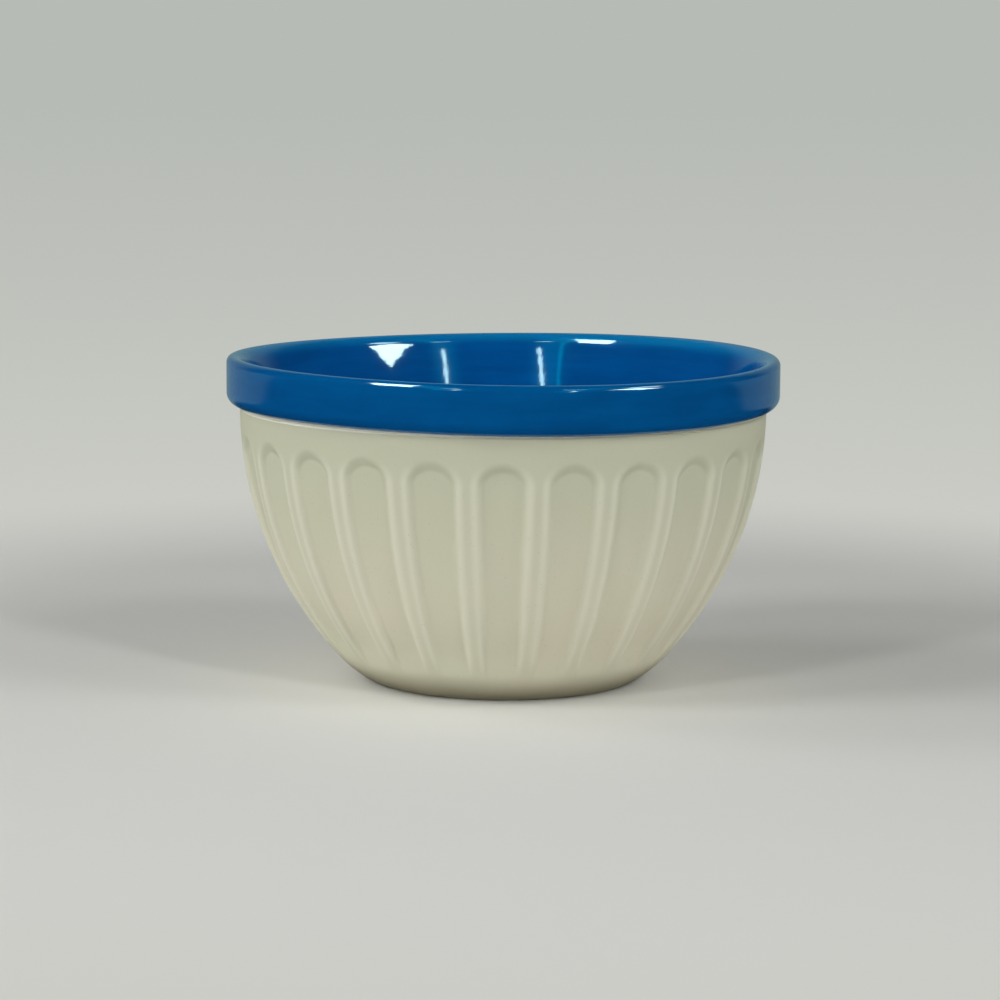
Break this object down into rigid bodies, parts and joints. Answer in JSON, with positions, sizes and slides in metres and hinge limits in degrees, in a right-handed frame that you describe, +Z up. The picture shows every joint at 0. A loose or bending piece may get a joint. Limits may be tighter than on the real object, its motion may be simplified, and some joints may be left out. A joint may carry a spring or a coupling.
{
  "type": "prep bowl",
  "caption": "Small round stoneware prep bowl with a fluted matt cream outside, a plain raised collar and a gloss blue lining, turned under to a low foot ring.",
  "frame": {"origin": "centre of the foot ring, on the surface that the bowl stands on", "axes": "+Z up along the bowl's axis of revolution; the picture looks roughly along +Y, with +X to the right, and a flute faces -Y"},
  "size_m": [0.15, 0.15, 0.088],
  "materials": {
    "fired_clay": "bare, fine-grained, dry",
    "cream_glaze": "matt, smooth, faintly speckled",
    "blue_glaze": "high gloss, thinner and lighter over the edges"
  },
  "bodies": {
    "root": {"stoneware_body": "fired_clay", "cream_glaze": "cream_glaze", "blue_glaze": "blue_glaze", "base_glaze": "cream_glaze"}
  },
  "joints": []
}
